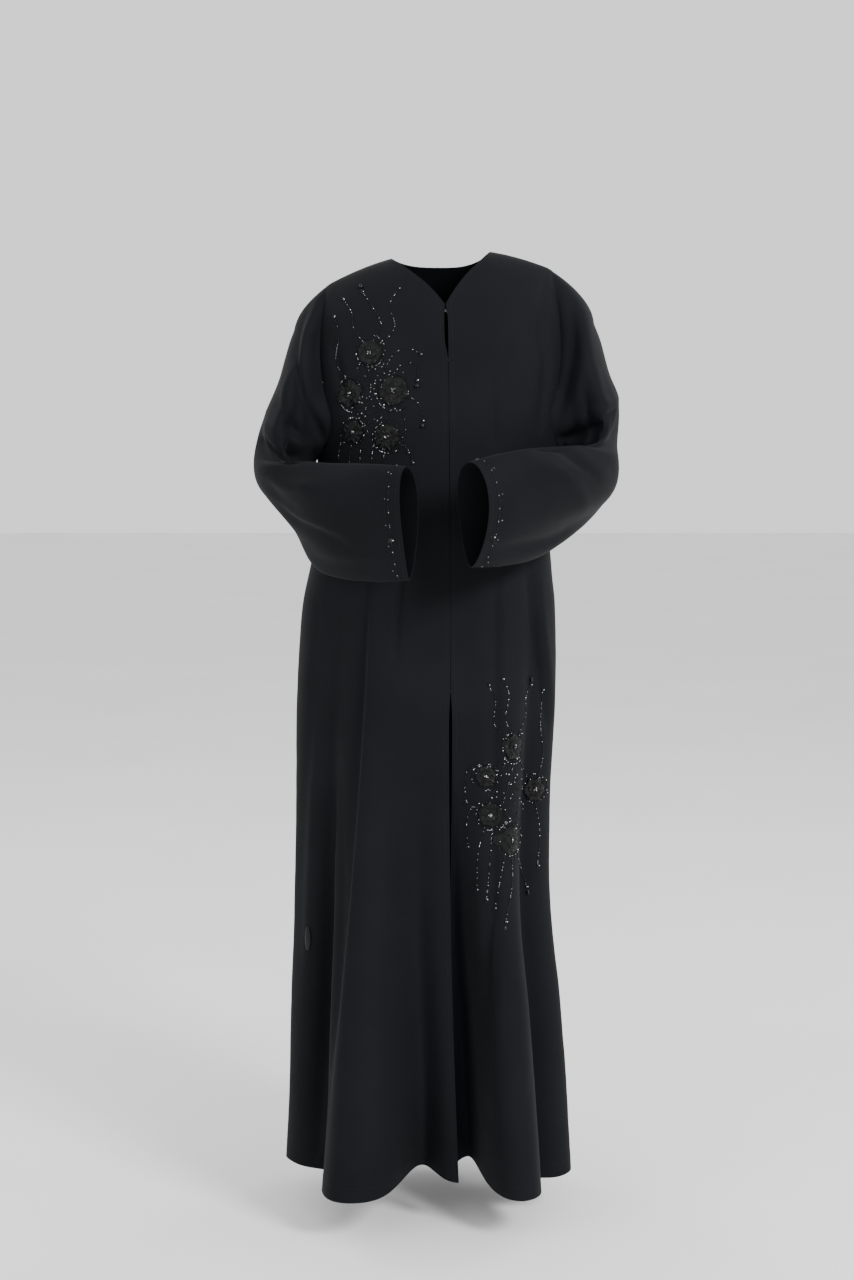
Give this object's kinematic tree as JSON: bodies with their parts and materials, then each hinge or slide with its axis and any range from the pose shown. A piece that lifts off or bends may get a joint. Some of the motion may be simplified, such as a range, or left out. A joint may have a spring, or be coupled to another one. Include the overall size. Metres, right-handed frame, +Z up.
{
  "type": "abaya cloak",
  "caption": "Ankle-length open-front abaya cloak, hollow as worn, with V neck, wide bent sleeves, hooked front and raised flower trim.",
  "frame": {"origin": "middle of the shoulder line at the neck, where the wearer's shoulders hold the cloak up", "axes": "+Z up, the wearer faces -Y, +X towards the wearer's left"},
  "size_m": [0.5358, 0.4971, 1.3741],
  "materials": {
    "front_right_crepe": "matte crepe with a soft sheen",
    "front_left_crepe": "matte crepe with a soft sheen",
    "back_crepe": "matte crepe with a soft sheen",
    "sleeve_right_crepe": "matte crepe with a soft sheen",
    "sleeve_left_crepe": "matte crepe with a soft sheen",
    "dark_organza": "stiff dark organza with satin highlights",
    "jet_bead": "polished black bead",
    "fastener_wire": "bright drawn wire",
    "dark_plate": "dark glossy metal"
  },
  "bodies": {
    "root": {"front_right": "front_right_crepe", "front_left": "front_left_crepe", "back": "back_crepe", "sleeve_right": "sleeve_right_crepe", "sleeve_left": "sleeve_left_crepe", "flower_right_1": "dark_organza", "flower_right_2": "dark_organza", "flower_right_3": "dark_organza", "flower_right_4": "dark_organza", "flower_right_5": "dark_organza", "flower_left_1": "dark_organza", "flower_left_2": "dark_organza", "flower_left_3": "dark_organza", "flower_left_4": "dark_organza", "flower_left_5": "dark_organza", "drop_right_1": "jet_bead", "drop_right_2": "jet_bead", "drop_right_3": "jet_bead", "drop_left_1": "jet_bead", "drop_left_2": "jet_bead", "drop_left_3": "jet_bead", "hook_1": "fastener_wire", "hook_2": "fastener_wire", "hook_3": "fastener_wire", "eye_1": "fastener_wire", "eye_2": "fastener_wire", "eye_3": "fastener_wire", "side_plate": "dark_plate"}
  },
  "joints": []
}
